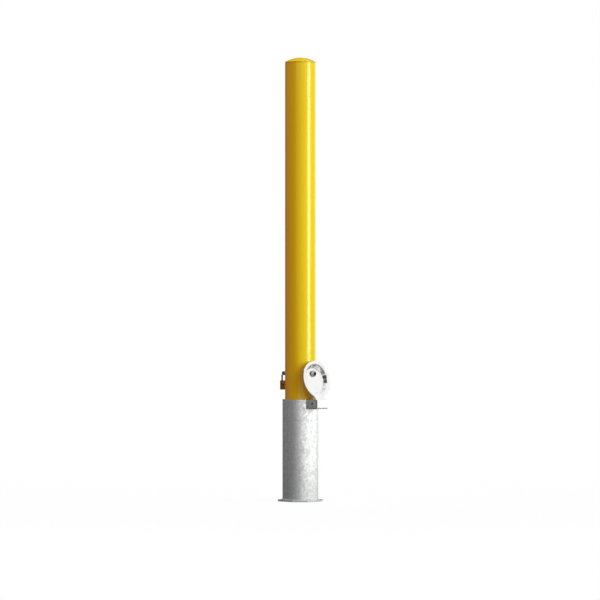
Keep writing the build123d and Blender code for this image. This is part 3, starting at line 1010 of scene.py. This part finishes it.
class BOLLARD_OT_stage(bpy.types.Operator):
    """Set up the camera, the lights, the white surroundings and the floor"""

    bl_idname = "bollard.stage"
    bl_label = "Stage"

    def execute(self, context):
        look = context.scene.bollard_stage
        self.camera(look)
        self.lights(look)
        self.cards(look)
        self.world(look)
        self.floor(look)
        context.scene.view_settings.view_transform = "Standard"
        return {"FINISHED"}

    def camera(self, look):
        """Look level at the post, with the lid turned an eighth of a turn to the right."""
        camera_data = bpy.data.cameras.new("camera")
        camera_data.lens = look.lens
        camera_data.sensor_width = 36.0
        camera_data.clip_end = 100.0
        camera = bpy.data.objects.new("camera", camera_data)
        framing_shift = TO_RIGHT * MM
        camera.location = self.spot(0, look.distance, look.height) - framing_shift
        camera.rotation_euler = (math.radians(90), 0, math.radians(45))
        bpy.context.scene.collection.objects.link(camera)
        bpy.context.scene.camera = camera

    def lights(self, look):
        """Lights kept for the paint and for the zinc, and soft ones behind and above the post."""
        zinc = self.gather("zinc_pieces", "galvanised")
        painted = self.gather("painted_pieces", "yellow")
        self.light(
            "key_strip", turn=66.8, distance=1.6, height=0.72, width=0.65, tall=1.5,
            radiance=look.key_radiance, receivers=painted, tint=look.key_tint,
        )
        self.light(
            "zinc_light", turn=70.0, distance=1.5, height=0.3, width=4.8, tall=1.8,
            radiance=look.zinc_radiance, receivers=zinc,
        )
        self.light(
            "zinc_fill", turn=-105.0, distance=1.5, height=0.3, width=2.4, tall=1.8,
            radiance=look.zinc_radiance / 18, receivers=zinc,
        )
        self.light(
            "broad_light", turn=42.0, distance=2.2, height=0.9, width=1.6, tall=1.8,
            radiance=look.soft_radiance, receivers=painted, glossy=False, tint=look.soft_tint,
        )
        self.light(
            "rear_light", turn=180.0, distance=2.4, height=1.0, width=1.8, tall=1.8,
            radiance=0.7, glossy=False,
        )
        self.overhead("top_light", look.top_radiance)
        self.overhead("cap_light", look.top_radiance * 1.3, painted, look.soft_tint)
        self.light(
            "low_light", turn=10.0, distance=0.9, height=0.15, width=0.5, tall=0.4,
            radiance=look.low_radiance, receivers=painted, glossy=False, tint=look.low_tint,
        )

    def cards(self, look):
        """Grey and dark cards that give the polished lid and the rod something to reflect."""
        grey = look.surroundings
        black = look.black_card
        self.card("grey_front", turn=4.0, distance=15.0, height=1.0, width=26.0, tall=2.3, glow=grey)
        self.card("black_low", turn=-34.0, distance=2.7, height=-0.1, width=1.5, tall=1.2, glow=black / 2)
        self.card("black_high", turn=-46.5, distance=2.7, height=0.78, width=1.35, tall=3.0, glow=black / 2)
        self.card("grey_left", turn=-92.0, distance=3.0, height=0.5, width=3.9, tall=3.8, glow=grey)
        self.card("grey_rear_left", turn=-150.0, distance=3.0, height=0.5, width=3.0, tall=3.8, glow=grey / 2)
        self.card("grey_right", turn=110.0, distance=15.0, height=1.0, width=12.0, tall=2.3, glow=grey / 2)
        self.card("black_right_low", turn=93.0, distance=3.0, height=-0.18, width=2.6, tall=0.64, glow=black)
        self.card("black_right_high", turn=93.0, distance=3.0, height=0.52, width=2.6, tall=0.22, glow=black)
        self.card("black_back", turn=180.0, distance=3.2, height=4.4, width=4.4, tall=6.0, glow=black)

    def spot(self, turn, distance, height):
        """Return a place round the post: turn is in degrees to the right of the camera."""
        angle = math.radians(turn)
        heading = TO_CAMERA * math.cos(angle) + TO_RIGHT * math.sin(angle)
        return heading * distance + Vector((0, 0, height))

    def gather(self, name, finish):
        """Return a collection of the pieces whose material's name starts with the finish."""
        found = bpy.data.collections.new(name)
        for piece in bpy.context.scene.objects:
            materials = [slot.material for slot in piece.material_slots if slot.material]
            if any(material.name.startswith(finish) for material in materials):
                found.objects.link(piece)
        return found

    def lamp(self, name, width, tall, radiance, receivers, glossy, tint):
        """Add a rectangular light that faces down."""
        data = bpy.data.lights.new(name, "AREA")
        data.shape = "RECTANGLE"
        data.size = width
        data.size_y = tall
        data.energy = radiance * math.pi * width * tall
        data.color = tint
        lamp = bpy.data.objects.new(name, data)
        lamp.visible_glossy = glossy
        lamp.visible_camera = False
        lamp.light_linking.receiver_collection = receivers
        bpy.context.scene.collection.objects.link(lamp)
        return lamp

    def light(
        self, name, turn, distance, height, width, tall, radiance, receivers=None, glossy=True, tint=(1, 1, 1)
    ):
        """Add a light that faces the post from the side."""
        lamp = self.lamp(name, width, tall, radiance, receivers, glossy, tint)
        lamp.location = self.spot(turn, distance, height)
        aim = Vector((0, 0, height)) - lamp.location
        lamp.rotation_euler = aim.to_track_quat("-Z", "Y").to_euler()

    def overhead(self, name, radiance, receivers=None, tint=(1, 1, 1)):
        """Add a light above the post."""
        width, height = 1.2, 2.6
        lamp = self.lamp(name, width, width, radiance, receivers, False, tint)
        lamp.location.z = height

    def card(self, name, turn, distance, height, width, tall, glow):
        """Add a glowing card that only reflections see."""
        bm = bmesh.new()
        bmesh.ops.create_grid(bm, x_segments=1, y_segments=1, size=0.5)
        centre = self.spot(turn, distance, height)
        aim = Vector((0, 0, height)) - centre
        matrix = Matrix.Translation(centre) @ aim.to_track_quat("-Z", "Y").to_matrix().to_4x4()
        matrix = matrix @ Matrix.Diagonal((width, tall, 1, 1))
        bmesh.ops.transform(bm, matrix=matrix, verts=bm.verts)
        material, tree = bare_material(name)
        light = output(tree, "ShaderNodeEmission", {"Color": WHITE, "Strength": glow})
        put(tree, "ShaderNodeOutputMaterial", {"Surface": light})
        piece = link(name, bm, material)
        piece.visible_camera = False
        piece.visible_diffuse = False
        piece.visible_transmission = False
        piece.visible_shadow = False

    def world(self, look):
        """White for the camera and for reflections, soft ambient light for matt surfaces."""
        world = bpy.data.worlds.new("surroundings")
        world.use_nodes = True
        tree = world.node_tree
        tree.nodes.clear()
        path = tree.nodes.new("ShaderNodeLightPath").outputs
        seen = calc(tree, "MAXIMUM", path["Is Camera Ray"], path["Is Glossy Ray"])
        seen = calc(tree, "MAXIMUM", seen, path["Is Transmission Ray"])
        soft = output(tree, "ShaderNodeBackground", {"Color": rgba(look.ambient)})
        white = output(tree, "ShaderNodeBackground", {"Color": WHITE})
        both = output(tree, "ShaderNodeMixShader", {0: seen, 1: soft, 2: white})
        put(tree, "ShaderNodeOutputWorld", {"Surface": both})
        bpy.context.scene.world = world

    def floor(self, look):
        """Pale floor that fades into the white around it and keeps a faint shadow."""
        bm = bmesh.new()
        radius = look.floor_radius
        bmesh.ops.create_circle(bm, cap_ends=True, segments=96, radius=radius)
        material, tree = bare_material("floor")
        path = tree.nodes.new("ShaderNodeLightPath").outputs
        place = object_place(tree)
        plain, mirrored = rgba(look.floor_color), rgba(look.floor_mirrored_color)
        shade = mix_colors(tree, path["Is Glossy Ray"], plain, mirrored)
        matt = output(tree, "ShaderNodeBsdfDiffuse", {"Color": shade})
        seen = mapped(tree, path["Is Camera Ray"], 0, 1, 0, look.floor_glow)
        glow = output(tree, "ShaderNodeEmission", {"Strength": seen})
        lit = output(tree, "ShaderNodeAddShader", {0: matt, 1: glow})
        clear = output(tree, "ShaderNodeBsdfTransparent")
        reach = vector_calc(tree, "LENGTH", place, out=1)
        wide = mapped(tree, reach, radius * 0.3, radius * 0.95)
        near = mapped(tree, reach, radius * 0.4, radius * 0.55)
        fade = output(tree, "ShaderNodeMix", {0: path["Is Glossy Ray"], 2: wide, 3: near})
        both = output(tree, "ShaderNodeMixShader", {0: fade, 1: lit, 2: clear})
        put(tree, "ShaderNodeOutputMaterial", {"Surface": both})
        piece = link("floor", bm, material)
        piece.visible_shadow = False


class BOLLARD_PT_panel(bpy.types.Panel):
    """Buttons and settings of the bollard"""

    bl_idname = "BOLLARD_PT_panel"
    bl_label = "Removable Bollard"
    bl_space_type = "VIEW_3D"
    bl_region_type = "UI"
    bl_category = "Bollard"

    def draw(self, context):
        for operator in OPERATORS:
            self.layout.operator(operator.bl_idname)
        for name, settings in SETTINGS.items():
            section = self.layout.box()
            for value in settings.__annotations__:
                section.prop(getattr(context.scene, name), value)


OPERATORS = (
    BOLLARD_OT_post,
    BOLLARD_OT_sleeve,
    BOLLARD_OT_hinge_box,
    BOLLARD_OT_lid,
    BOLLARD_OT_rod,
    BOLLARD_OT_padlock,
    BOLLARD_OT_stage,
)
SETTINGS = {
    "bollard_paint": PaintSettings,
    "bollard_zinc": ZincSettings,
    "bollard_metal": MetalSettings,
    "bollard_stage": StageSettings,
}


def register():
    """Register the settings, the operators and the panel."""
    for name, settings in SETTINGS.items():
        bpy.utils.register_class(settings)
        setattr(bpy.types.Scene, name, PointerProperty(type=settings))
    for operator in OPERATORS:
        bpy.utils.register_class(operator)
    bpy.utils.register_class(BOLLARD_PT_panel)


def unregister():
    """Take the panel, the operators and the settings away again."""
    bpy.utils.unregister_class(BOLLARD_PT_panel)
    for operator in reversed(OPERATORS):
        bpy.utils.unregister_class(operator)
    for name, settings in SETTINGS.items():
        delattr(bpy.types.Scene, name)
        bpy.utils.unregister_class(settings)


def main():
    """Register everything and build the bollard and its stage."""
    register()
    bpy.ops.bollard.post()
    bpy.ops.bollard.sleeve()
    bpy.ops.bollard.hinge_box()
    bpy.ops.bollard.lid()
    bpy.ops.bollard.rod()
    bpy.ops.bollard.padlock()
    bpy.ops.bollard.stage()


if __name__ == "__main__":
    main()
